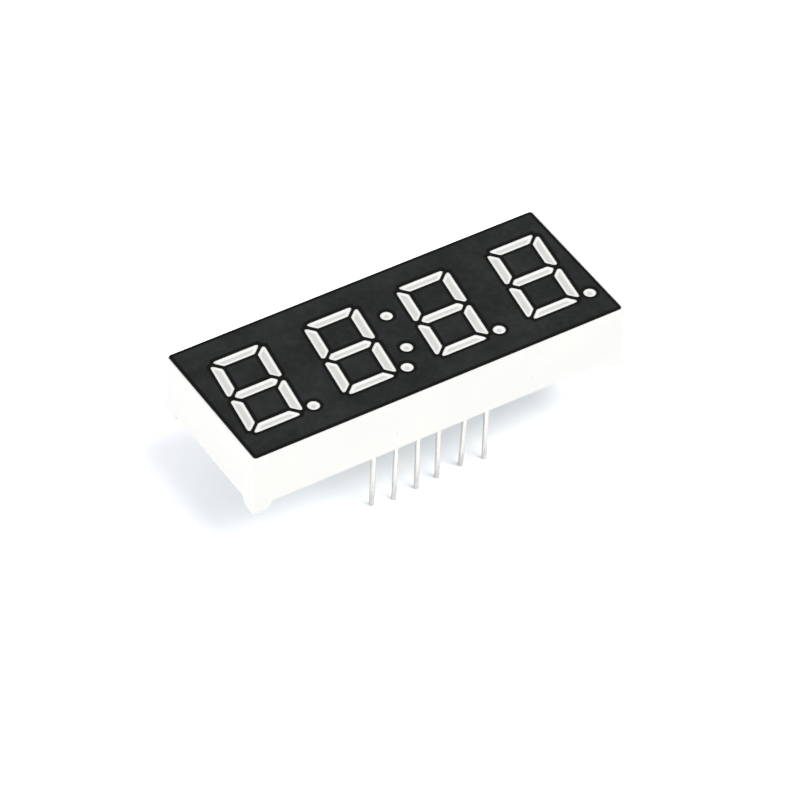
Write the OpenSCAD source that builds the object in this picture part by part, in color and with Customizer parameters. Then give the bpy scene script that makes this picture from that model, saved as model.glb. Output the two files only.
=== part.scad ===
// Four-digit seven-segment clock display, 0.4 inch (10.2 mm) digits, twelve round leads.
// Millimetres. The origin is the centre of the seating plane, the plane of the four feet.
// +X runs along the row of digits as it is read, +Y to their tops, +Z out of the lit face.

/* [Housing] */
// Length of the housing at the foot of its walls
body_l = 40.18; // [40:0.01:44]
// Width of the housing at the foot of its walls
body_w = 16; // [15.6:0.1:20]
// Height of the housing walls, without the feet and the film
wall_h = 5.9; // [4.8:0.1:8]
// Wall thickness round the recess that takes the board
wall_t = 1; // [0.8:0.05:1.2]
// Inward lean of each outer wall from its foot to the face
draft = 0.08; // [0:0.01:0.3]
// Radius of the four upright corners
edge_r = 0.15; // [0.1:0.05:0.5]
// Thickness of the black film on the face
film_t = 0.1; // [0.05:0.05:0.2]
// Bare white line between the film and each end of the face
film_end = 0.1; // [0.05:0.01:0.3]
// Bare white line between the film and each long side of the face
film_side = 0.01; // [0:0.01:0.1]
// Corner radius of the film
film_r = 0.05; // [0.02:0.01:0.1]

/* [Feet] */
// Height of the corner feet below the walls
foot_h = 0.8; // [0.4:0.1:1.5]
// Length of a foot along the wall, where it leaves the wall
foot_root = 2.1; // [1.6:0.1:4]
// Length of a foot along the wall, on the seating plane
foot_end = 1.5; // [1.2:0.1:3]

/* [Digits] */
// Face left over at each end of the row of digit cells
cell_end = 0.09; // [0:0.01:0.5]
// Height of a digit over its strokes
digit_h = 10.2; // [8:0.1:10.6]
// Width of a digit over its strokes, before the slant
digit_w = 5.85; // [5:0.05:6]
// Stroke width of the segments
stroke = 1.1; // [0.9:0.05:1.3]
// Gap between neighbouring segments
segment_gap = 0.28; // [0.2:0.02:0.3]
// Where the gaps beside the middle segment meet, inside the outer edge of the strokes
waist_inset = 0.34; // [0.3:0.01:0.5]
// Corner radius of the windows over the segments
corner_r = 0.22; // [0.15:0.01:0.23]
// Forward slant of the digits in degrees
slant = 8; // [0:1:10]
// Shift of the row of digits from the centre line of the face
row_shift = 0.1; // [-0.3:0.05:0.3]
// Radius of the decimal points and the colon dots
dot_r = 0.61; // [0.4:0.01:0.7]
// Gap between a digit and its decimal point, before the slant
point_gap = 0.43; // [0.3:0.01:0.5]
// Depth of the decimal point below the foot of its digit
point_drop = 0.11; // [0:0.01:0.2]
// Colon dots, above and below the centre of the face
colon_y = 2.29; // [1.5:0.01:3]

/* [Light guides] */
// White rim left between a film window and the resin
rim = 0.12; // [0.05:0.01:0.14]
// Depth of the straight mouth of a light guide
guide_land = 0.3; // [0.1:0.1:1]
// Size of the inner end of a light guide as a share of its mouth
guide_taper = 0.6; // [0.5:0.05:0.9]

/* [Board] */
// Thickness of the circuit board
board_t = 1; // [0.8:0.1:1.6]
// Depth of the board's back inside the rim of the walls
board_recess = 0.3; // [0.3:0.1:0.8]
// Clearance round the edge of the board
board_clear = 0.1; // [0.05:0.05:0.2]
// Resin between the board and the reflector
bond_h = 0.16; // [0.1:0.02:0.3]
// Thickness of the copper
copper_t = 0.04; // [0.02:0.01:0.07]
// Border of the square pad under each chip
pad_border = 0.11; // [0.05:0.01:0.2]
// Side of each chip
chip_w = 0.28; // [0.2:0.02:0.32]
// Height of each chip
chip_h = 0.2; // [0.1:0.02:0.3]

/* [Leads] */
// Distance from one lead to the next
lead_pitch = 2.54; // [1.8:0.01:3.5]
// Distance of each row of leads inside the foot of the wall beside it
row_inset = 1.65; // [1.65:0.05:2.5]
// Diameter of the round part of a lead
lead_d = 0.5; // [0.4:0.05:0.55]
// Reach of the leads below the seating plane
lead_reach = 7.2; // [3:0.1:12]
// Bevel on the cut end of a lead
lead_bevel = 0.08; // [0.02:0.01:0.12]
// Clearance of a round lead in its hole, filled by the square shank
hole_clear = 0.05; // [0.03:0.01:0.08]
// Width of the copper ring round each hole
ring_w = 0.2; // [0.12:0.01:0.22]
// Height of the solder cone on the back of the board
solder_h = 0.56; // [0.5:0.02:0.7]
// Thickness of the solder at the lower end of its cone
solder_end = 0.05; // [0.02:0.01:0.1]

/* [Hidden] */
$fn = 64;
digit_count = 4;
row_count = 6;
DIGITS = [0:digit_count - 1];
LEADS = [1:2 * row_count];
SEGMENTS = "abcdefg";
corner_steps = 2;
over = 0.5;
rim_z = foot_h;
face_z = rim_z + wall_h;
board_z = rim_z + board_recess;
board_top = board_z + board_t;
reflector_z = board_top + bond_h;
guide_end = board_top + bond_h / 2;
pocket_l = body_l - 2 * wall_t;
pocket_w = body_w - 2 * wall_t;
digit_pitch = (body_l - 2 * cell_end) / digit_count;
row_gap = body_w - 2 * row_inset;
half_w = digit_w / 2;
half_h = digit_h / 2;
mitre = segment_gap / sqrt(2);
waist_x = half_w - waist_inset;
side_apex = waist_x + mitre - segment_gap / 2;
point_x = half_w + point_gap + dot_r;
point_y = half_h + point_drop - dot_r;
die_pad = chip_w + 2 * pad_border;
hole_d = lead_d + 2 * hole_clear;
ring_d = hole_d + 2 * ring_w;

// Outlines before the slant. The bar is segment a, the side is segment b, the middle is segment g.
bar_outline = [
    [half_w - mitre, half_h],
    [mitre - half_w, half_h],
    [mitre + stroke - half_w, half_h - stroke],
    [half_w - stroke - mitre, half_h - stroke]
];
side_outline = [
    [half_w, half_h - mitre],
    [half_w - stroke, half_h - stroke - mitre],
    [half_w - stroke, waist_x + mitre - half_w + stroke],
    [side_apex, segment_gap / 2],
    [half_w, segment_gap / 2 + half_w - side_apex]
];
middle_outline = [
    [waist_x - mitre, 0],
    [waist_x - mitre - stroke / 2, stroke / 2],
    [mitre + stroke / 2 - waist_x, stroke / 2],
    [mitre - waist_x, 0],
    [mitre + stroke / 2 - waist_x, -stroke / 2],
    [waist_x - mitre - stroke / 2, -stroke / 2]
];

// The seven segments are these three outlines, mirrored.
function flip(s) = [s == "e" || s == "f" ? -1 : 1, s == "c" || s == "d" || s == "e" ? -1 : 1];
function outline(s) = s == "a" || s == "d" ? bar_outline : s == "g" ? middle_outline : side_outline;
function placed(s) = [for (p = outline(s)) [p.x * flip(s).x, p.y * flip(s).y]];
function middle_of(a) = [(max([for (p = a) p.x]) + min([for (p = a) p.x])) / 2,
                         (max([for (p = a) p.y]) + min([for (p = a) p.y])) / 2];
function slanted(p) = [p.x + p.y * tan(slant), p.y];

// Corner b between a and c: the point at distance d inside both edges, then an arc of radius r.
function unit(v) = v / norm(v);
function half_angle(a, b, c) = acos(unit(a - b) * unit(c - b)) / 2;
function inside(a, b, c, d) = b + unit(unit(a - b) + unit(c - b)) * d / sin(half_angle(a, b, c));
function foot_of(a, b, c, r) = b + unit(a - b) * r / tan(half_angle(a, b, c));
function turn(u, v, t) = (u * sin((1 - t) * acos(u * v)) + v * sin(t * acos(u * v))) / sin(acos(u * v));
function arc(a, b, c, r) =
    let (o = inside(a, b, c, r))
    [for (k = [0:corner_steps])
        o + r * turn(unit(foot_of(a, b, c, r) - o), unit(foot_of(c, b, a, r) - o), k / corner_steps)];
function before(list, i) = list[(i + len(list) - 1) % len(list)];
function after(list, i) = list[(i + 1) % len(list)];
function shrunk(list, d) = [for (i = [0:len(list) - 1]) inside(before(list, i), list[i], after(list, i), d)];
function rounded(list, r) =
    [for (i = [0:len(list) - 1]) each arc(before(list, i), list[i], after(list, i), r)];

// Where things stand on the face and on the board.
function digit_x(d) = (d - (digit_count - 1) / 2) * digit_pitch;
function point_at(d) = [digit_x(d), row_shift] + slanted([point_x, -point_y]);
function colon_at(k) = [0, row_shift] + slanted([0, k * colon_y]);
function segment_at(d, s) = [digit_x(d), row_shift] + slanted(middle_of(placed(s)));
function lead_at(n) = n <= row_count
    ? [(n - (row_count + 1) / 2) * lead_pitch, -row_gap / 2]
    : [((row_count * 3 + 1) / 2 - n) * lead_pitch, row_gap / 2];

// One segment around its own middle. The mouth of a light guide is smaller by the rim.
module segment(s, inset) {
    c = slanted(middle_of(placed(s)));
    polygon([for (p = rounded(shrunk(placed(s), inset), corner_r - inset)) slanted(p) - c]);
}

// A tapered light guide under one segment, reaching above the face by lip.
module segment_guide(s, lip) {
    translate([0, 0, face_z - guide_land])
        linear_extrude(guide_land + lip) segment(s, rim);
    translate([0, 0, face_z - guide_land])
        mirror([0, 0, 1])
            linear_extrude(face_z - guide_land - guide_end, scale = guide_taper) segment(s, rim);
}

module dot_guide(lip) {
    translate([0, 0, face_z - guide_land])
        cylinder(h = guide_land + lip, r = dot_r - rim);
    translate([0, 0, guide_end])
        cylinder(h = face_z - guide_land - guide_end, r1 = (dot_r - rim) * guide_taper, r2 = dot_r - rim);
}

module light_guides(lip) {
    for (d = DIGITS) {
        for (s = SEGMENTS)
            translate(segment_at(d, s)) segment_guide(s, lip);
        translate(point_at(d)) dot_guide(lip);
    }
    for (k = [-1, 1])
        translate(colon_at(k)) dot_guide(lip);
}

// Side view of the walls: drafted sides, and a foot at each end.
module wall_profile(length) {
    polygon([
        [-length / 2, 0],
        [foot_end - length / 2, 0],
        [foot_root - length / 2, foot_h],
        [length / 2 - foot_root, foot_h],
        [length / 2 - foot_end, 0],
        [length / 2, 0],
        [length / 2, foot_h],
        [length / 2 - draft, face_z],
        [draft - length / 2, face_z],
        [-length / 2, foot_h]
    ]);
}

module rounded_rectangle(length, width, r) {
    square([length - 2 * r, width], center = true);
    square([length, width - 2 * r], center = true);
    for (x = [-1, 1], y = [-1, 1])
        translate([x * (length / 2 - r), y * (width / 2 - r)]) circle(r);
}

module reflector_housing() {
    color("white")
        difference() {
            intersection() {
                rotate([90, 0, 0])
                    linear_extrude(body_w, center = true) wall_profile(body_l);
                rotate([90, 0, 90])
                    linear_extrude(body_l, center = true) wall_profile(body_w);
                linear_extrude(face_z) rounded_rectangle(body_l, body_w, edge_r);
            }
            translate([-pocket_l / 2, -pocket_w / 2, -over])
                cube([pocket_l, pocket_w, reflector_z + over]);
            light_guides(over);
        }
}

module face_film() {
    film_l = body_l - 2 * draft - 2 * film_end;
    film_w = body_w - 2 * draft - 2 * film_side;
    color([0.16, 0.165, 0.17])
        translate([0, 0, face_z])
            linear_extrude(film_t)
                difference() {
                    rounded_rectangle(film_l, film_w, film_r);
                    for (d = DIGITS) {
                        for (s = SEGMENTS)
                            translate(segment_at(d, s)) segment(s, 0);
                        translate(point_at(d)) circle(dot_r);
                    }
                    for (k = [-1, 1])
                        translate(colon_at(k)) circle(dot_r);
                }
}

module resin_fill() {
    color("gainsboro")
        difference() {
            union() {
                translate([-pocket_l / 2, -pocket_w / 2, board_top])
                    cube([pocket_l, pocket_w, bond_h]);
                light_guides(0);
            }
            for (d = DIGITS)
                digit_chips(d, copper_t + chip_h, chip_w, 0);
            colon_chips(copper_t + chip_h, chip_w, 0);
            all_die_pads(over);
        }
}

module circuit_board() {
    color("seagreen")
        difference() {
            translate([board_clear - pocket_l / 2, board_clear - pocket_w / 2, board_z])
                cube([pocket_l - 2 * board_clear, pocket_w - 2 * board_clear, board_t]);
            for (n = LEADS)
                translate(lead_at(n))
                    translate([0, 0, board_z - over]) cylinder(h = board_t + 2 * over, r = hole_d / 2);
        }
}

// A block of height h and side w on the board at each place, starting z0 above the board.
module block_at(place, h, w, z0) {
    translate([place.x - w / 2, place.y - w / 2, board_top + z0]) cube([w, w, h]);
}

module digit_chips(d, h, w, z0) {
    for (s = SEGMENTS)
        block_at(segment_at(d, s), h, w, z0);
    block_at(point_at(d), h, w, z0);
}

module colon_chips(h, w, z0) {
    for (k = [-1, 1])
        block_at(colon_at(k), h, w, z0);
}

module all_die_pads(below) {
    for (d = DIGITS)
        digit_chips(d, copper_t + below, die_pad, -below);
    colon_chips(copper_t + below, die_pad, -below);
}

module die_pads() {
    color("gold") all_die_pads(0);
}

module led_chips(d) {
    color("khaki") digit_chips(d, chip_h, chip_w, copper_t);
}

module led_chips_colon() {
    color("khaki") colon_chips(chip_h, chip_w, copper_t);
}

module pin_pads() {
    color("gold")
        for (n = LEADS)
            translate(lead_at(n))
                translate([0, 0, board_z - copper_t])
                    difference() {
                        cylinder(h = copper_t, r = ring_d / 2);
                        translate([0, 0, -over]) cylinder(h = copper_t + 2 * over, r = hole_d / 2);
                    }
}

// A round wire with a bevelled end, swaged square where the board grips it.
module lead() {
    rotate_extrude()
        polygon([
            [0, -lead_reach],
            [lead_d / 2 - lead_bevel, -lead_reach],
            [lead_d / 2, lead_bevel - lead_reach],
            [lead_d / 2, rim_z],
            [0, rim_z]
        ]);
    translate([0, 0, rim_z])
        cylinder(h = board_top - rim_z, r = hole_d / 2, $fn = 4);
}

module pin(n) {
    color("silver") translate(lead_at(n)) lead();
}

module solder_joints() {
    color("lightgray")
        for (n = LEADS)
            translate(lead_at(n))
                difference() {
                    translate([0, 0, board_z - copper_t - solder_h])
                        cylinder(h = solder_h, r1 = lead_d / 2 + solder_end, r2 = ring_d / 2);
                    lead();
                }
}

reflector_housing();
face_film();
resin_fill();
circuit_board();
led_chips(0);  // led_chips_digit_1
led_chips(1);  // led_chips_digit_2
led_chips(2);  // led_chips_digit_3
led_chips(3);  // led_chips_digit_4
led_chips_colon();
die_pads();
pin_pads();
solder_joints();
pin(1);  // pin_1
pin(2);  // pin_2
pin(3);  // pin_3
pin(4);  // pin_4
pin(5);  // pin_5
pin(6);  // pin_6
pin(7);  // pin_7
pin(8);  // pin_8
pin(9);  // pin_9
pin(10);  // pin_10
pin(11);  // pin_11
pin(12);  // pin_12
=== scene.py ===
import math

import bmesh
import bpy
from mathutils import Matrix, Vector


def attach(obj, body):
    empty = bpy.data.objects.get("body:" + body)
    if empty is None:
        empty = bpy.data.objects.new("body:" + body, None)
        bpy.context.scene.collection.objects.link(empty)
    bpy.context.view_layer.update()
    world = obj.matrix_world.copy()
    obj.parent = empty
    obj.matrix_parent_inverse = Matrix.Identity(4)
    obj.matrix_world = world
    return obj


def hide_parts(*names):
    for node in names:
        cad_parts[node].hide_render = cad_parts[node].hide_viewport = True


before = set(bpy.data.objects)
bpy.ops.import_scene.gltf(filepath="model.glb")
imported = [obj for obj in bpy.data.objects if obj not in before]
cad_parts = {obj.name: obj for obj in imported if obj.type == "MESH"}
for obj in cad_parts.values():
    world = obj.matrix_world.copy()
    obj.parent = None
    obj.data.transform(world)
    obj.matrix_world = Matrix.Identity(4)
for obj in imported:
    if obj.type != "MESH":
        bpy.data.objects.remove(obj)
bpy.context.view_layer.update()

# Pieces are modelled in millimetres and brought to metres when they are done.
metresPerMillimetre = 0.001
# How close two places must be to count as one
tolerance = 0.001

# Heights that several pieces share, over the plane of the feet
heights = {
    "leadTips": -7.2,
    "rim": 0.8,
    "boardTop": 2.1,
    "recessTop": 2.26,
    "face": 6.7,
    "filmTop": 6.8,
}


# Modelling helpers


def workOn(*pieces):
    if bpy.context.object and bpy.context.object.mode != "OBJECT":
        bpy.ops.object.mode_set(mode="OBJECT")
    bpy.ops.object.select_all(action="DESELECT")
    for piece in pieces:
        piece.select_set(True)
    bpy.context.view_layer.objects.active = pieces[0]


def startEdit(piece):
    workOn(piece)
    bpy.ops.object.mode_set(mode="EDIT")


def leaveEdit():
    bpy.ops.object.mode_set(mode="OBJECT")


def pick(kind, test):  # selects what passes the test in the mesh being edited
    data = bpy.context.object.data
    bpy.ops.mesh.select_mode(type=kind)
    bpy.ops.mesh.select_all(action="DESELECT")
    mesh = bmesh.from_edit_mesh(data)
    for item in {"VERT": mesh.verts, "EDGE": mesh.edges, "FACE": mesh.faces}[kind]:
        if test(item):
            item.select_set(True)
    mesh.select_flush_mode()
    bmesh.update_edit_mesh(data)


def pickAll(kind):
    bpy.ops.mesh.select_mode(type=kind)
    bpy.ops.mesh.select_all(action="SELECT")


def pickRim():  # the open edges of a sheet
    pick("EDGE", lambda edge: edge.is_boundary)


def isUpright(edge):
    return abs(edge.verts[0].co.z - edge.verts[1].co.z) > 0.05


def looksDown(face):
    return face.normal.z < -0.9


def extrudeBy(x, y, z):
    bpy.ops.mesh.extrude_region_move(TRANSFORM_OT_translate={"value": (x, y, z)})


def turnFacesOut():
    pickAll("FACE")
    bpy.ops.mesh.normals_make_consistent(inside=False)


def applyPlace(piece):
    workOn(piece)
    bpy.ops.object.transform_apply(location=True, rotation=True, scale=True)


def newBlock(name, low, high):
    low, high = Vector(low), Vector(high)
    bpy.ops.object.select_all(action="DESELECT")
    bpy.ops.mesh.primitive_cube_add(size=1, location=(low + high) / 2, scale=high - low)
    piece = bpy.context.object
    piece.name = name
    applyPlace(piece)
    return piece


def newDisc(name, centre, radius, sides):
    bpy.ops.object.select_all(action="DESELECT")
    bpy.ops.mesh.primitive_circle_add(vertices=sides, radius=radius, fill_type="NGON", location=centre)
    piece = bpy.context.object
    piece.name = name
    applyPlace(piece)
    return piece


def modify(piece, kind, **settings):
    workOn(piece)
    modifier = piece.modifiers.new(kind.title(), kind)
    for key, value in settings.items():
        setattr(modifier, key, value)
    bpy.ops.object.modifier_apply(modifier=modifier.name)


def discard(piece):
    bpy.data.objects.remove(piece, do_unlink=True)


def cut(piece, cutter):
    modify(piece, "BOOLEAN", object=cutter, operation="DIFFERENCE", solver="EXACT")
    discard(cutter)


def copyOf(piece, name, shift=(0, 0, 0)):
    twin = piece.copy()
    twin.data = piece.data.copy()
    twin.name = name
    bpy.context.scene.collection.objects.link(twin)
    twin.data.transform(Matrix.Translation(Vector(shift)))
    return twin


def joined(name, pieces):
    workOn(*pieces)
    bpy.ops.object.join()
    piece = bpy.context.object
    piece.name = name
    return piece


def finishPiece(piece, finish, nodes, smoothAngle=40):
    workOn(piece)
    bpy.ops.object.shade_smooth_by_angle(angle=math.radians(smoothAngle))
    modify(piece, "WEIGHTED_NORMAL", keep_sharp=True)  # keeps the large flat faces evenly lit
    piece.data.transform(Matrix.Scale(metresPerMillimetre, 4))
    piece.data.materials.clear()
    piece.data.materials.append(finish)
    piece.data.name = piece.name
    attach(piece, "root")
    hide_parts(*nodes)
    print("piece", piece.name, "faces", len(piece.data.polygons))


# Shader helpers


class Wire:  # one socket of a shader tree, so that shader maths reads as plain sums
    def __init__(self, tree, socket):
        self.tree = tree
        self.socket = socket

    def maths(self, operation, *values):
        return addNode(self.tree, "ShaderNodeMath", {"operation": operation}, dict(enumerate(values)))

    def __add__(self, other):
        return self.maths("ADD", self, other)

    __radd__ = __add__

    def __sub__(self, other):
        return self.maths("SUBTRACT", self, other)

    def __rsub__(self, other):
        return self.maths("SUBTRACT", other, self)

    def __mul__(self, other):
        return self.maths("MULTIPLY", self, other)

    __rmul__ = __mul__

    def __mod__(self, other):
        return self.maths("FLOORED_MODULO", self, other)

    def size(self):
        return self.maths("ABSOLUTE", self)

    def upTo(self, other):
        return self.maths("MINIMUM", self, other)

    def softUpTo(self, other, blend):
        return self.maths("SMOOTH_MIN", self, other, blend)

    def atLeast(self, other):
        return self.maths("MAXIMUM", self, other)

    def ramp(self, start, end):  # 0 before start, 1 after end, soft between
        settings = {"interpolation_type": "SMOOTHSTEP"}
        return addNode(self.tree, "ShaderNodeMapRange", settings, {0: self, 1: start, 2: end})


def addNode(tree, kind, settings=None, sockets=None, output=0):
    node = tree.nodes.new(kind)
    for key, value in (settings or {}).items():
        setattr(node, key, value)
    for key, value in (sockets or {}).items():
        if isinstance(value, Wire):
            tree.links.new(value.socket, node.inputs[key])
        else:
            node.inputs[key].default_value = value
    return Wire(tree, node.outputs[output]) if len(node.outputs) else node


class Finish:  # a material under construction
    def __init__(self, name):
        self.material = bpy.data.materials.new(name)
        self.material.use_nodes = True
        self.tree = self.material.node_tree
        self.tree.nodes.clear()
        # Object coordinates, in millimetres
        metres = self.node("ShaderNodeTexCoord", output="Object")
        sockets = {0: metres, "Scale": 1 / metresPerMillimetre}
        self.place = self.node("ShaderNodeVectorMath", {"operation": "SCALE"}, sockets)

    def node(self, kind, settings=None, sockets=None, output=0):
        return addNode(self.tree, kind, settings, sockets, output)

    def axis(self, name):
        return self.node("ShaderNodeSeparateXYZ", None, {0: self.place}, name)

    def stretched(self, x, y, z):
        return self.node("ShaderNodeVectorMath", {"operation": "MULTIPLY"}, {0: self.place, 1: (x, y, z)})

    def awayFrom(self, centre):
        sockets = {0: self.place, 1: centre}
        return self.node("ShaderNodeVectorMath", {"operation": "DISTANCE"}, sockets, "Value")

    def noise(self, perMillimetre, detail=3.0, place=None, roughness=0.5):
        sockets = {"Vector": place or self.place, "Scale": perMillimetre, "Detail": detail}
        sockets["Roughness"] = roughness
        return self.node("ShaderNodeTexNoise", None, sockets)

    def mix(self, share, first, second):
        return self.node("ShaderNodeMix", {"data_type": "RGBA"}, {0: share, 6: first, 7: second}, 2)

    def bump(self, height, depth, normal=None):  # depth in millimetres
        sockets = {"Height": height, "Distance": depth * metresPerMillimetre, "Strength": 1.0}
        if normal:
            sockets["Normal"] = normal
        return self.node("ShaderNodeBump", None, sockets)

    def surface(self, **values):
        sockets = {surfaceSockets[key]: value for key, value in values.items()}
        shader = self.node("ShaderNodeBsdfPrincipled", None, sockets)
        self.node("ShaderNodeOutputMaterial", None, {"Surface": shader})
        return self.material


surfaceSockets = {
    "color": "Base Color",
    "roughness": "Roughness",
    "metallic": "Metallic",
    "normal": "Normal",
    "specular": "Specular IOR Level",
    "coat": "Coat Weight",
}


def tone(red, green, blue):
    return (red, green, blue, 1.0)


# Finishes: scales are in grains per millimetre, depths in millimetres

whiteSettings = {
    "color": tone(0.925, 0.925, 0.91),
    "shade": tone(0.885, 0.895, 0.89),
    "cloudScale": 0.16,
    "cloudRange": (0.35, 0.7),
    "cloudShare": 0.55,
    "specks": [((-4.86, -8.0, 2.75), 0.05), ((9.83, -8.0, 2.75), 0.04)],
    "speckColor": tone(0.35, 0.33, 0.31),
    "speckBlur": 0.05,
    "speckShare": 0.6,
    "roughness": 0.38,
    "roughnessSpread": 0.16,
    "grainScale": 9.0,
    "grainDepth": 0.004,
    "waveScale": 0.5,
    "waveDepth": 0.02,
}


def whitePlastic():
    s = whiteSettings
    made = Finish("whitePlastic")
    cloud = made.noise(s["cloudScale"], 2.0).ramp(*s["cloudRange"])
    color = made.mix(cloud * s["cloudShare"], s["color"], s["shade"])
    for centre, radius in s["specks"]:
        speck = 1 - made.awayFrom(centre).ramp(radius, radius + s["speckBlur"])
        color = made.mix(speck * s["speckShare"], color, s["speckColor"])
    grain = made.noise(s["grainScale"])
    roughness = s["roughness"] + (grain - 0.5) * s["roughnessSpread"]
    wave = made.bump(made.noise(s["waveScale"], 1.0), s["waveDepth"])
    return made.surface(color=color, roughness=roughness, normal=made.bump(grain, s["grainDepth"], wave))


# The digits' own sizes, before the slant
digitSettings = {
    "centres": [-15.0, -5.0, 5.0, 15.0],
    "rowY": 0.1,
    "height": 10.2,
    "width": 5.85,
    "stroke": 1.1,
    "gap": 0.28,
    "waistInset": 0.34,
    "slantDegrees": 8.0,
    "dotRadius": 0.61,
    "pointPlace": (3.3185, -4.6),
    "colonPlace": (0.3218, 2.29),
    "cornerBlend": 0.2,
    "tipCut": 0.34,
    "tipCutDegrees": 22.5,
}
# The slope of the mitred ends
slope = 1 / math.sqrt(2)


def digitLines():  # half the width and height, the mitre's reach along an edge, and the waist
    s = digitSettings
    halfW, halfH = s["width"] / 2, s["height"] / 2
    return halfW, halfH, s["gap"] * slope, halfW - s["waistInset"]


def windowDepth(made, barTrim=0.0):  # distance in from the edge of the nearest window
    s = digitSettings
    halfW, halfH, mitre, waist = digitLines()
    blend = s["cornerBlend"]
    pitch = s["centres"][1] - s["centres"][0]
    rise = made.axis("Y") - s["rowY"]
    across = made.axis("X") - rise * math.tan(math.radians(s["slantDegrees"]))
    # one quarter of a digit stands for all, since the row repeats and each digit mirrors
    x = (((across - s["centres"][0] + pitch / 2) % pitch) - pitch / 2).size()
    y = rise.size()
    bar = (halfH - y).upTo(y - (halfH - s["stroke"]))
    bar = bar.softUpTo(slope * (halfW - mitre - halfH - x + y), blend)
    side = (halfW - x).upTo(x - (halfW - s["stroke"]))
    side = side.softUpTo(slope * (halfH - mitre - halfW + x - y), blend)
    side = side.softUpTo(slope * (x + y - waist - mitre), blend)
    side = side.softUpTo(slope * (waist + mitre - s["gap"] - x + y), blend)
    middle = (s["stroke"] / 2 - y).softUpTo(slope * (waist - mitre - x - y), blend)
    # the sharp corners are blunted as the round windows are
    tipAngle = math.radians(s["tipCutDegrees"])
    wide, narrow = math.cos(tipAngle), math.sin(tipAngle)
    bar = bar.softUpTo(wide * (halfW - mitre - x) + narrow * (halfH - y) - s["tipCut"], blend)
    side = side.softUpTo(narrow * (halfW - x) + wide * (halfH - mitre - y) - s["tipCut"], blend)
    depth = (bar.atLeast(middle) - barTrim).atLeast(side)
    pointX, pointY = s["pointPlace"]
    colonX, colonY = s["colonPlace"]
    dots = [(centre + pointX, pointY) for centre in s["centres"]]
    dots += [(colonX, colonY), (-colonX, -colonY)]
    for dotX, dotY in dots:
        away = made.awayFrom((dotX, dotY + s["rowY"], heights["face"]))
        depth = depth.atLeast(s["dotRadius"] - barTrim - away)
    return depth


filmSettings = {
    "half": (19.79, 7.86),
    "shift": (-0.04, 0.06),
    "cornerRadius": 0.28,
    "cornerSteps": 6,
    "windowRadius": 0.26,
    "windowInset": 0.012,
    "cutterReach": 0.2,
    "color": tone(0.0104, 0.0124, 0.0122),
    "worn": tone(0.0290, 0.0310, 0.0325),
    "cloudScale": 0.16,
    "cloudRange": (0.35, 0.68),
    "cloudShare": 0.45,
    "fleckScale": 1.4,
    "fleckRange": (0.38, 0.72),
    "fleckShare": 0.4,
    # painted shade line along every cut edge, with its start and end distances in from the edge
    "edge": tone(0.0004, 0.0004, 0.0004),
    "shadeLineStart": 0.24,
    "shadeLineEnd": 0.40,
    "roughness": 0.45,
    "cloudRoughness": 0.08,
    "grainRoughness": 0.1,
    "grainScale": 14.0,
    "grainDepth": 0.003,
    "specular": 0.08,
}


def blackFilm():
    s = filmSettings
    made = Finish("blackFilm")
    cloud = made.noise(s["cloudScale"]).ramp(*s["cloudRange"])
    fleck = made.noise(s["fleckScale"], 4.0, roughness=0.62).ramp(*s["fleckRange"])
    color = made.mix(cloud * s["cloudShare"] + fleck * s["fleckShare"], s["color"], s["worn"])
    # painted shade: a dark line along every cut edge of the film, round each window and along the outer edge
    halfX, halfY = s["half"]
    shiftX, shiftY = s["shift"]
    rimX = halfX - (made.axis("X") - shiftX).size()
    rimY = halfY - (made.axis("Y") - shiftY).size()
    gap = rimX.upTo(rimY).upTo(0 - windowDepth(made))
    color = made.mix(1 - gap.ramp(s["shadeLineStart"], s["shadeLineEnd"]), color, s["edge"])
    grain = made.noise(s["grainScale"], 2.0)
    roughness = s["roughness"] + (cloud - 0.5) * s["cloudRoughness"] + (grain - 0.5) * s["grainRoughness"]
    normal = made.bump(grain, s["grainDepth"])
    return made.surface(color=color, roughness=roughness, specular=s["specular"], normal=normal)


resinSettings = {
    # edge is painted light near each window's rim, where the lit white walls show through; middle is painted
    # shade over the deep cavity
    "edge": tone(0.95, 0.95, 0.945),
    "middle": tone(0.63, 0.63, 0.62),
    "clear": (0.20, 0.36),
    "middleShadeShare": 0.86,
    "barTrim": 0.07,
    "roughness": 0.3,
    "roughnessSpread": 0.15,
    "hazeScale": 1.4,
    "hazeShare": 0.3,
    "hazeDepth": 0.01,
}


def castResin():
    s = resinSettings
    made = Finish("castResin")
    haze = made.noise(s["hazeScale"])
    # painted light and shade: white near the window's rim for the lit reflector walls seen through the
    # resin, grey towards the middle for the shade of the deep cavity
    clear = windowDepth(made, s["barTrim"]).ramp(*s["clear"])
    share = clear * (s["middleShadeShare"] + (haze - 0.5) * s["hazeShare"])
    color = made.mix(share, s["edge"], s["middle"])
    roughness = s["roughness"] + (haze - 0.5) * s["roughnessSpread"]
    return made.surface(color=color, roughness=roughness, normal=made.bump(haze, s["hazeDepth"]))


leadFinish = {
    "bright": tone(0.62, 0.605, 0.57),
    "dull": tone(0.42, 0.415, 0.40),
    "dullTop": -3.0,
    "dullShare": 0.55,
    "patchShare": 0.5,
    "patchRange": (0.45, 1.25),
    "streakScale": 5.0,
    "streakStretch": 0.12,
    "streakDepth": 0.01,
    "blotchScale": 1.1,
    "blotchDepth": 0.02,
    "roughness": 0.2,
    "roughnessSpread": 0.15,
}


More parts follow.
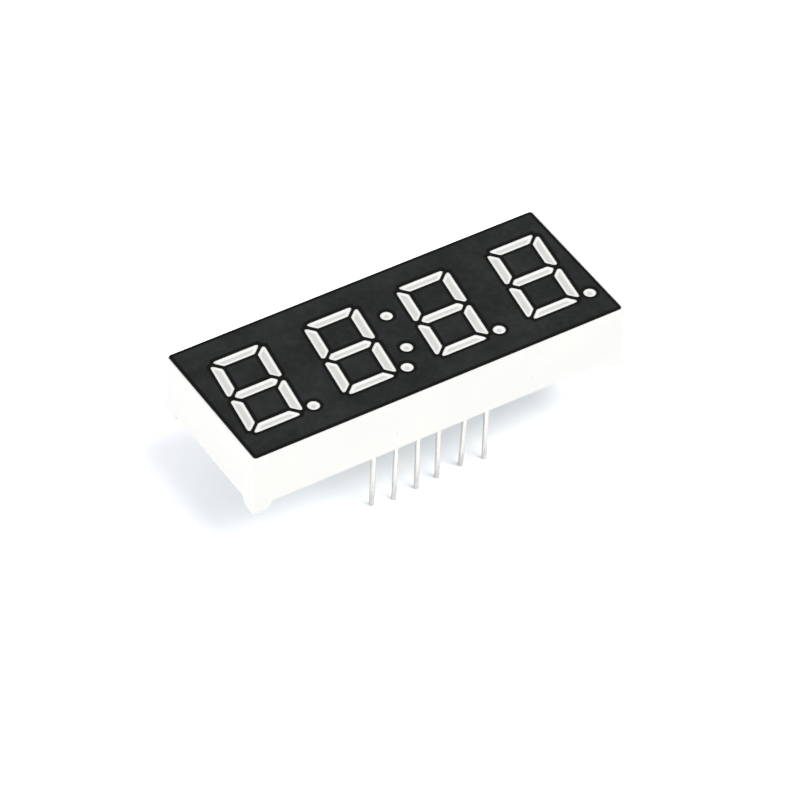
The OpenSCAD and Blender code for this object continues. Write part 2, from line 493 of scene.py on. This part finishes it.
def tinnedWire():
    s = leadFinish
    made = Finish("tinnedWire")
    streaks = made.noise(s["streakScale"], place=made.stretched(1.0, 1.0, s["streakStretch"]))
    blotch = made.noise(s["blotchScale"])
    lower = 1 - made.axis("Z").ramp(heights["leadTips"], s["dullTop"])
    patches = lower * s["dullShare"] + (streaks + blotch) * s["patchShare"]
    share = patches.ramp(*s["patchRange"])
    color = made.mix(share, s["bright"], s["dull"])
    roughness = s["roughness"] + (share + (streaks - 0.5)) * s["roughnessSpread"]
    normal = made.bump(streaks, s["streakDepth"], made.bump(blotch, s["blotchDepth"]))
    return made.surface(color=color, metallic=1.0, roughness=roughness, normal=normal)


solderFinish = {
    "bright": tone(0.74, 0.74, 0.72),
    "dull": tone(0.52, 0.53, 0.54),
    "rippleScale": 2.6,
    "rippleRange": (0.35, 0.7),
    "rippleDepth": 0.03,
    "roughness": 0.26,
    "roughnessSpread": 0.25,
}


def solderMetal():
    s = solderFinish
    made = Finish("solderMetal")
    ripple = made.noise(s["rippleScale"])
    color = made.mix(ripple.ramp(*s["rippleRange"]), s["bright"], s["dull"])
    roughness = s["roughness"] + (ripple - 0.5) * s["roughnessSpread"]
    normal = made.bump(ripple, s["rippleDepth"])
    return made.surface(color=color, metallic=1.0, roughness=roughness, normal=normal)


boardFinish = {
    "dark": tone(0.014, 0.070, 0.040),
    "light": tone(0.024, 0.105, 0.058),
    "weaveScale": 2.2,
    "weaveShare": 0.25,
    "threadScale": 3.0,
    "threadShare": 0.6,
    "threadDepth": 0.006,
    "roughness": 0.32,
    "roughnessSpread": 0.15,
    "varnish": 0.3,
}


def boardLaminate():
    s = boardFinish
    made = Finish("boardLaminate")
    sockets = {"Vector": made.place, "Scale": s["weaveScale"]}
    weave = made.node("ShaderNodeTexChecker", None, sockets, "Fac")
    thread = made.noise(s["threadScale"])
    share = weave * s["weaveShare"] + thread * s["threadShare"]
    color = made.mix(share, s["dark"], s["light"])
    roughness = s["roughness"] + (thread - 0.5) * s["roughnessSpread"]
    normal = made.bump(share, s["threadDepth"])
    return made.surface(color=color, roughness=roughness, normal=normal, coat=s["varnish"])


goldFinish = {
    "bright": tone(0.86, 0.63, 0.30),
    "rubbed": tone(0.70, 0.47, 0.22),
    "rubScale": 4.0,
    "rubRange": (0.3, 0.75),
    "rubDepth": 0.004,
    "roughness": 0.3,
    "roughnessSpread": 0.2,
}


def goldCopper():
    s = goldFinish
    made = Finish("goldCopper")
    rub = made.noise(s["rubScale"])
    color = made.mix(rub.ramp(*s["rubRange"]), s["bright"], s["rubbed"])
    roughness = s["roughness"] + (rub - 0.5) * s["roughnessSpread"]
    normal = made.bump(rub, s["rubDepth"])
    return made.surface(color=color, metallic=1.0, roughness=roughness, normal=normal)


chipFinish = {
    "pale": tone(0.78, 0.70, 0.42),
    "deep": tone(0.60, 0.50, 0.24),
    "facetScale": 7.0,
    "facetRange": (0.35, 0.7),
    "facetDepth": 0.004,
    "roughness": 0.2,
    "roughnessSpread": 0.15,
}


def ledDie():
    s = chipFinish
    made = Finish("ledDie")
    facet = made.noise(s["facetScale"], 2.0)
    color = made.mix(facet.ramp(*s["facetRange"]), s["pale"], s["deep"])
    roughness = s["roughness"] + facet * s["roughnessSpread"]
    return made.surface(color=color, roughness=roughness, normal=made.bump(facet, s["facetDepth"]))


finishes = {
    "white": whitePlastic(),
    "film": blackFilm(),
    "resin": castResin(),
    "wire": tinnedWire(),
    "solder": solderMetal(),
    "board": boardLaminate(),
    "gold": goldCopper(),
    "die": ledDie(),
}
print("finishes made:", len(finishes))


# The digits: every window is a convex outline, given by its edges before the slant

guideSettings = {
    "rim": 0.12,
    "cornerRadius": 0.10,
    "cornerSteps": 4,
    "dishRim": 0.26,
    "dishRadius": 0.02,
    "dishDepth": 0.03,
    "land": 0.3,
    "taper": 0.6,
    "innerEnd": 2.18,
    "dotSides": 32,
    "lip": 0.5,
}


def segmentEdges():  # each edge is a point on it and the way out of the window
    s = digitSettings
    halfW, halfH, mitre, waist = digitLines()
    bar = [
        ((0, halfH), (0, 1)),
        ((0, halfH - s["stroke"]), (0, -1)),
        ((halfW - mitre, halfH), (slope, -slope)),
        ((mitre - halfW, halfH), (-slope, -slope)),
    ]
    side = [
        ((halfW, 0), (1, 0)),
        ((halfW - s["stroke"], 0), (-1, 0)),
        ((halfW, halfH - mitre), (-slope, slope)),
        ((waist + mitre, 0), (-slope, -slope)),
        ((waist + mitre - s["gap"], 0), (slope, -slope)),
    ]
    middle = [((0, s["stroke"] / 2), (0, 1)), ((0, -s["stroke"] / 2), (0, -1))]
    for x in (-1, 1):
        for y in (-1, 1):
            middle.append(((x * (waist - mitre), 0), (x * slope, y * slope)))
    # the outline of each segment, and its sides mirrored or not
    return {
        "a": (bar, 1, 1),
        "b": (side, 1, 1),
        "c": (side, 1, -1),
        "d": (bar, 1, -1),
        "e": (side, -1, -1),
        "f": (side, -1, 1),
        "g": (middle, 1, 1),
    }


def slant(piece):
    lean = Matrix.Identity(4)
    lean[0][1] = math.tan(math.radians(digitSettings["slantDegrees"]))
    piece.data.transform(lean)


def roundCorners(piece, radius):
    mesh = bmesh.from_edit_mesh(piece.data)
    corners = []
    for vertex in mesh.verts:
        ways = [(edge.other_vert(vertex).co - vertex.co).normalized() for edge in vertex.link_edges]
        corners.append((vertex.co.copy(), radius / math.tan(ways[0].angle(ways[1]) / 2)))
    for place, along in corners:
        pick("VERT", lambda vertex: (vertex.co - place).length < tolerance)
        bpy.ops.mesh.bevel(offset=along, segments=guideSettings["cornerSteps"], affect="VERTICES")


def newOutline(letter, inset, radius, height):
    edges, flipX, flipY = segmentEdges()[letter]
    bpy.ops.object.select_all(action="DESELECT")
    bpy.ops.mesh.primitive_plane_add(size=2 * digitSettings["height"])
    piece = bpy.context.object
    startEdit(piece)
    for point, outward in edges:
        outward = Vector((outward[0] * flipX, outward[1] * flipY, 0))
        point = Vector((point[0] * flipX, point[1] * flipY, 0)) - outward * inset
        pickAll("VERT")
        bpy.ops.mesh.bisect(plane_co=point, plane_no=outward, clear_outer=True, threshold=0.0001)
    roundCorners(piece, radius)
    leaveEdit()
    slant(piece)
    piece.data.transform(Matrix.Translation((0, 0, height)))
    return piece


def newDot(place, radius, height):
    return newDisc("dot", (*place, height), radius, guideSettings["dotSides"])


def middleOf(piece):
    xs = [vertex.co.x for vertex in piece.data.vertices]
    ys = [vertex.co.y for vertex in piece.data.vertices]
    return (min(xs) + max(xs)) / 2, (min(ys) + max(ys)) / 2


def makePlug(top, dish):  # grows a flat outline into a tapered light guide, with a dish or a lip on top
    s = guideSettings
    face = heights["face"]
    x, y = middleOf(top)
    startEdit(top)
    pickRim()
    extrudeBy(0, 0, -s["land"])
    extrudeBy(0, 0, s["innerEnd"] - face + s["land"])
    bpy.ops.transform.resize(value=(s["taper"], s["taper"], 1), center_override=(x, y, s["innerEnd"]))
    bpy.ops.mesh.edge_face_add()
    if dish:
        leaveEdit()
        top = joined("plug", [top, dish])
        startEdit(top)
        floor = face - s["dishDepth"] - tolerance
        pick("FACE", lambda f: f.calc_center_median().z > floor and abs(f.normal.z) > 0.99)
        bpy.ops.mesh.bridge_edge_loops()
        pickRim()
        bpy.ops.mesh.edge_face_add()
    else:
        pick("VERT", lambda vertex: vertex.co.z > face - tolerance)
        bpy.ops.transform.translate(value=(0, 0, s["lip"]))
    turnFacesOut()
    leaveEdit()
    return top


def segmentPlug(letter, dished):
    s = guideSettings
    face = heights["face"]
    top = newOutline(letter, s["rim"], s["cornerRadius"], face)
    dish = newOutline(letter, s["dishRim"], s["dishRadius"], face - s["dishDepth"]) if dished else None
    return makePlug(top, dish)


def dotPlug(place, dished):
    s = guideSettings
    face, radius = heights["face"], digitSettings["dotRadius"]
    top = newDot(place, radius - s["rim"], face)
    dish = newDot(place, radius - s["dishRim"], face - s["dishDepth"]) if dished else None
    return makePlug(top, dish)


def digitRow(name, segmentMaker, dotMaker):  # four digits with their points, and the colon
    s = digitSettings
    strokes = [segmentMaker(letter) for letter in segmentEdges()]
    digit = joined("digit", strokes + [dotMaker(s["pointPlace"])])
    shown = [copyOf(digit, name, (x, s["rowY"], 0)) for x in s["centres"]]
    discard(digit)
    x, y = s["colonPlace"]
    shown += [dotMaker((way * x, s["rowY"] + way * y)) for way in (-1, 1)]
    return joined(name, shown)


def makeGuides(name, dished):
    return digitRow(name, lambda letter: segmentPlug(letter, dished), lambda place: dotPlug(place, dished))


guideCutter = makeGuides("guideCutter", False)
print("light guide cutter made")


# The black film: a thin sheet with round corners and a window over every segment and dot


def makePrism(top, low):
    startEdit(top)
    pickRim()
    extrudeBy(0, 0, low - top.data.vertices[0].co.z)
    bpy.ops.mesh.edge_face_add()
    turnFacesOut()
    leaveEdit()
    return top


def makeFilm():
    s = filmSettings
    low, high = heights["face"], heights["filmTop"]
    halfX, halfY = s["half"]
    x, y = s["shift"]
    film = newBlock("film", (x - halfX, y - halfY, low), (x + halfX, y + halfY, high))
    startEdit(film)
    pick("EDGE", isUpright)
    bpy.ops.mesh.bevel(offset=s["cornerRadius"], segments=s["cornerSteps"], affect="EDGES")
    leaveEdit()
    above, below = high + s["cutterReach"], low - s["cutterReach"]
    windows = digitRow(
        "windows",
        lambda letter: makePrism(newOutline(letter, s["windowInset"], s["windowRadius"], above), below),
        lambda place: makePrism(newDot(place, digitSettings["dotRadius"], above), below),
    )
    cut(film, windows)
    return film


finishPiece(makeFilm(), finishes["film"], ["face_film"], smoothAngle=30)


# The white housing: a drafted block, hollow from below, with four corner feet and the light guides cut out

housingSettings = {
    "length": 40.18,
    "width": 16.0,
    "draft": 0.08,
    "cornerRadius": 0.15,
    "cornerSteps": 5,
    "wall": 1.0,
    "footRoot": 2.1,
    "footEnd": 1.5,
    "softEdge": 0.04,
    "softEdgeDegrees": 35,
}


def makeHousing():
    s = housingSettings
    halfL, halfW = s["length"] / 2, s["width"] / 2
    rim, face = heights["rim"], heights["face"]
    body = newBlock("housing", (-halfL, -halfW, rim), (halfL, halfW, face))
    startEdit(body)
    pick("VERT", lambda v: v.co.z > face - tolerance)
    shrink = (1 - s["draft"] / halfL, 1 - s["draft"] / halfW, 1)
    bpy.ops.transform.resize(value=shrink, center_override=(0, 0, face))
    # the recess for the board
    pick("FACE", looksDown)
    bpy.ops.mesh.inset(thickness=s["wall"])
    extrudeBy(0, 0, heights["recessTop"] - rim)
    # the feet, drawn down from the corners of the rim
    rootX, rootY = halfL - s["footRoot"], halfW - s["footRoot"]

    def onRim(f):
        return looksDown(f) and f.calc_center_median().z < rim + tolerance

    def onFoot(f):
        middle = f.calc_center_median()
        return onRim(f) and abs(middle.x) > rootX and abs(middle.y) > rootY

    for side in (-1, 1):
        for point, normal in (((side * rootX, 0, 0), (1, 0, 0)), ((0, side * rootY, 0), (0, 1, 0))):
            pick("FACE", onRim)
            bpy.ops.mesh.bisect(plane_co=point, plane_no=normal, threshold=0.0001)
    pick("FACE", onFoot)
    extrudeBy(0, 0, -rim)
    lean = s["footRoot"] - s["footEnd"]
    for side in (-1, 1):
        pick("VERT", lambda v: v.co.z < tolerance and abs(v.co.x - side * rootX) < tolerance)
        bpy.ops.transform.translate(value=(side * lean, 0, 0))
        pick("VERT", lambda v: v.co.z < tolerance and abs(v.co.y - side * rootY) < tolerance)
        bpy.ops.transform.translate(value=(0, side * lean, 0))

    # the four upright corners
    def atCorner(v):
        reach = s["draft"] + tolerance
        return abs(v.co.x) > halfL - reach and abs(v.co.y) > halfW - reach

    pick("EDGE", lambda edge: isUpright(edge) and all(atCorner(v) for v in edge.verts))
    bpy.ops.mesh.bevel(offset=s["cornerRadius"], segments=s["cornerSteps"], affect="EDGES")
    leaveEdit()
    modify(
        body,
        "BEVEL",
        width=s["softEdge"],
        segments=2,
        limit_method="ANGLE",
        angle_limit=math.radians(s["softEdgeDegrees"]),
        use_clamp_overlap=False,
    )
    cut(body, guideCutter)
    return body


finishPiece(makeHousing(), finishes["white"], ["reflector_housing"])


# The resin: a dished top in every window, the light guides below it, and the layer that bonds the board

bondSettings = {"half": (19.09, 7.0)}


def makeResin():
    halfX, halfY = bondSettings["half"]
    low, high = (-halfX, -halfY, heights["boardTop"]), (halfX, halfY, heights["recessTop"])
    bond = newBlock("bond", low, high)
    return joined("lightGuides", [makeGuides("guides", True), bond])


finishPiece(makeResin(), finishes["resin"], ["resin_fill"], smoothAngle=20)


# The leads: one straight wire, copied and bent twelve times

leadSizes = {
    "perRow": 6,
    "pitch": 2.54,
    "rowY": 6.35,
    "radius": 0.25,
    "bevel": 0.08,
    "sides": 20,
    "levels": [-6.6, -6.0, -5.2, -4.4, -3.6, -2.8, -2.0, -1.2, -0.6, 0.0, 0.5, 1.1],
    "bendTop": 0.5,
    "bendKnee": -1.2,
}
# Sideways shift of each lead at the knee below the board, and the place of its tip from its hole
leadBends = {
    1: (0.07, (0.03, 0.17)),
    2: (-0.05, (-0.33, -0.24)),
    3: (-0.22, (-0.31, -0.08)),
    4: (-0.51, (-0.42, 0.18)),
    5: (-0.21, (-0.20, 0.43)),
    6: (-0.35, (-0.34, 0.10)),
    7: (0.10, (0.16, -0.12)),
    8: (-0.08, (-0.15, 0.10)),
    9: (0.12, (0.05, 0.15)),
    10: (0.05, (0.20, -0.08)),
    11: (-0.10, (-0.04, 0.12)),
    12: (0.04, (-0.12, -0.10)),
}


def straightLead():
    s = leadSizes
    tip, end = heights["leadTips"], s["radius"] - s["bevel"]
    lead = newDisc("straightLead", (0, 0, tip), end, s["sides"])
    startEdit(lead)
    pickAll("FACE")
    extrudeBy(0, 0, s["bevel"])
    height = tip + s["bevel"]
    wide = s["radius"] / end
    bpy.ops.transform.resize(value=(wide, wide, 1), center_override=(0, 0, height))
    for level in s["levels"] + [heights["boardTop"]]:
        extrudeBy(0, 0, level - height)
        height = level
    turnFacesOut()
    leaveEdit()
    return lead


def leadHole(number):  # the front row counts to the right, the back row to the left
    s = leadSizes
    front = number <= s["perRow"]
    place = number if front else 2 * s["perRow"] + 1 - number
    x = (place - (s["perRow"] + 1) / 2) * s["pitch"]
    return Vector((x, -s["rowY"] if front else s["rowY"], 0))


def bendLead(lead, number):
    s = leadSizes
    kneeX, (tipX, tipY) = leadBends[number]
    knee, tip = Vector((kneeX, 0, 0)), Vector((tipX, tipY, 0))
    levels = sorted({round(vertex.co.z, 4) for vertex in lead.data.vertices})
    startEdit(lead)
    for level in levels:
        if level >= s["bendTop"]:
            shift = Vector((0, 0, 0))
        elif level >= s["bendKnee"]:
            t = (s["bendTop"] - level) / (s["bendTop"] - s["bendKnee"])
            shift = knee * (t * t * (3 - 2 * t))
        else:
            t = (s["bendKnee"] - level) / (s["bendKnee"] - heights["leadTips"])
            shift = knee.lerp(tip, t)
        pick("VERT", lambda vertex: abs(vertex.co.z - level) < tolerance)
        bpy.ops.transform.translate(value=leadHole(number) + shift)
    leaveEdit()


wire = straightLead()
for number in leadBends:
    lead = copyOf(wire, "lead_" + str(number))
    bendLead(lead, number)
    finishPiece(lead, finishes["wire"], ["pin_" + str(number)])
discard(wire)


# Solder: a hollow-sided fillet round each lead, on the back of the board

filletSettings = {
    # distance from the lead's axis, and height
    "profile": [
        (0.25, 0.5),
        (0.29, 0.5),
        (0.31, 0.66),
        (0.36, 0.82),
        (0.43, 0.95),
        (0.5, 1.06),
        (0.25, 1.06),
    ],
    "steps": 24,
}


def makeFillets():
    s = filletSettings
    bpy.ops.object.select_all(action="DESELECT")
    bpy.ops.mesh.primitive_plane_add(size=1)
    ring = bpy.context.object
    startEdit(ring)
    pickAll("VERT")
    bpy.ops.mesh.merge(type="CENTER")
    x, z = s["profile"][0]
    bpy.ops.transform.translate(value=(x, 0, z))
    for (x0, z0), (x1, z1) in zip(s["profile"], s["profile"][1:]):
        extrudeBy(x1 - x0, 0, z1 - z0)
    pickAll("VERT")
    bpy.ops.mesh.spin(steps=s["steps"], angle=2 * math.pi, center=(0, 0, 0), axis=(0, 0, 1))
    pickAll("VERT")
    bpy.ops.mesh.remove_doubles(threshold=tolerance)
    turnFacesOut()
    leaveEdit()
    made = [copyOf(ring, "fillet" + str(number), leadHole(number)) for number in leadBends]
    discard(ring)
    return joined("solderFillets", made)


finishPiece(makeFillets(), finishes["solder"], ["solder_joints"], smoothAngle=60)


# The rigid pieces that keep their solid's shape

nodeFinishes = {
    "circuit_board": "board",
    "led_chips_digit_1": "die",
    "led_chips_digit_2": "die",
    "led_chips_digit_3": "die",
    "led_chips_digit_4": "die",
    "led_chips_colon": "die",
    "die_pads": "gold",
    "pin_pads": "gold",
}
for nodeName, finishName in nodeFinishes.items():
    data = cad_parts[nodeName].data
    data.materials.clear()
    data.materials.append(finishes[finishName])
print("nodes dressed:", len(nodeFinishes))


# Floor, light and camera: lamps and camera are placed in metres

studio = {
    "floorSize": 4000.0,
    "floorTone": tone(1.285, 1.29, 1.345),
    "floorGlow": 0.28,
    "glowTone": tone(0.97, 0.985, 1.06),
    "bounceTone": tone(0.85, 0.85, 0.85),
    "worldTone": tone(0.97, 0.985, 1.0),
    "worldStrength": 0.38,
    "backdropTone": tone(1.0, 1.0, 1.0),
    "keyPlace": (0.14, -0.225, 0.435),
    "keySize": 0.36,
    "keyEnergy": 1.86,
    "keyColor": (1.0, 0.985, 0.955),
    "fillPlace": (-0.50, -0.12, 0.14),
    "fillSize": 0.40,
    "fillEnergy": 1.42,
    "fillColor": (1.0, 0.995, 0.96),
}


def seenDirectly(tree):  # 1 where the camera sees it, straight or by way of a shiny or clear piece
    camera, glossy, clear = [
        addNode(tree, "ShaderNodeLightPath", output=name)
        for name in ("Is Camera Ray", "Is Glossy Ray", "Is Transmission Ray")
    ]
    return camera.atLeast(glossy).atLeast(clear)


def makeFloor():
    s = studio
    bpy.ops.object.select_all(action="DESELECT")
    bpy.ops.mesh.primitive_plane_add(size=s["floorSize"], location=(0, 0, heights["leadTips"]))
    floor = bpy.context.object
    floor.name = "floor"
    applyPlace(floor)
    floor.data.transform(Matrix.Scale(metresPerMillimetre, 4))
    made = Finish("floorPaper")
    shadowed = made.node("ShaderNodeBsdfDiffuse", None, {"Color": s["floorTone"]})
    glow = made.node("ShaderNodeEmission", None, {"Color": s["glowTone"], "Strength": s["floorGlow"]})
    shown = made.node("ShaderNodeAddShader", None, {0: shadowed, 1: glow})
    bounce = made.node("ShaderNodeBsdfDiffuse", None, {"Color": s["bounceTone"]})
    both = made.node("ShaderNodeMixShader", None, {0: seenDirectly(made.tree), 1: bounce, 2: shown})
    made.node("ShaderNodeOutputMaterial", None, {"Surface": both})
    floor.data.materials.append(made.material)


def makeWorld():
    world = bpy.data.worlds.new("studioWorld")
    world.use_nodes = True
    bpy.context.scene.world = world
    tree = world.node_tree
    tree.nodes.clear()
    light = addNode(tree, "ShaderNodeBackground", None, {0: studio["worldTone"], 1: studio["worldStrength"]})
    backdrop = addNode(tree, "ShaderNodeBackground", None, {0: studio["backdropTone"], 1: 1.0})
    both = addNode(tree, "ShaderNodeMixShader", None, {0: seenDirectly(tree), 1: light, 2: backdrop})
    addNode(tree, "ShaderNodeOutputWorld", None, {"Surface": both})


def makeLamp(name):  # a round soft lamp that looks at the part
    place = Vector(studio[name + "Place"])
    lamp = bpy.data.lights.new(name + "Light", "AREA")
    lamp.shape = "DISK"
    lamp.size = studio[name + "Size"]
    lamp.energy = studio[name + "Energy"]
    lamp.color = studio[name + "Color"]
    holder = bpy.data.objects.new(name + "Light", lamp)
    holder.location = place
    holder.rotation_euler = (-place).to_track_quat("-Z", "Y").to_euler()
    bpy.context.scene.collection.objects.link(holder)


cameraSettings = {
    "place": (-0.185369, -0.290065, 0.323861),
    "turnDegrees": (46.57595, -1.04095, -31.66620),
    "lens": 228.213,
    "sensor": 36.0,
    "clipStart": 0.01,
    "clipEnd": 20.0,
}


def makeCamera():
    s = cameraSettings
    data = bpy.data.cameras.new("camera")
    data.lens = s["lens"]
    data.sensor_width = s["sensor"]
    data.clip_start = s["clipStart"]
    data.clip_end = s["clipEnd"]
    camera = bpy.data.objects.new("camera", data)
    camera.location = s["place"]
    camera.rotation_euler = [math.radians(angle) for angle in s["turnDegrees"]]
    bpy.context.scene.collection.objects.link(camera)
    bpy.context.scene.camera = camera


makeFloor()
makeWorld()
makeLamp("key")
makeLamp("fill")
makeCamera()
bpy.context.scene.view_settings.view_transform = "Standard"
print("studio ready")
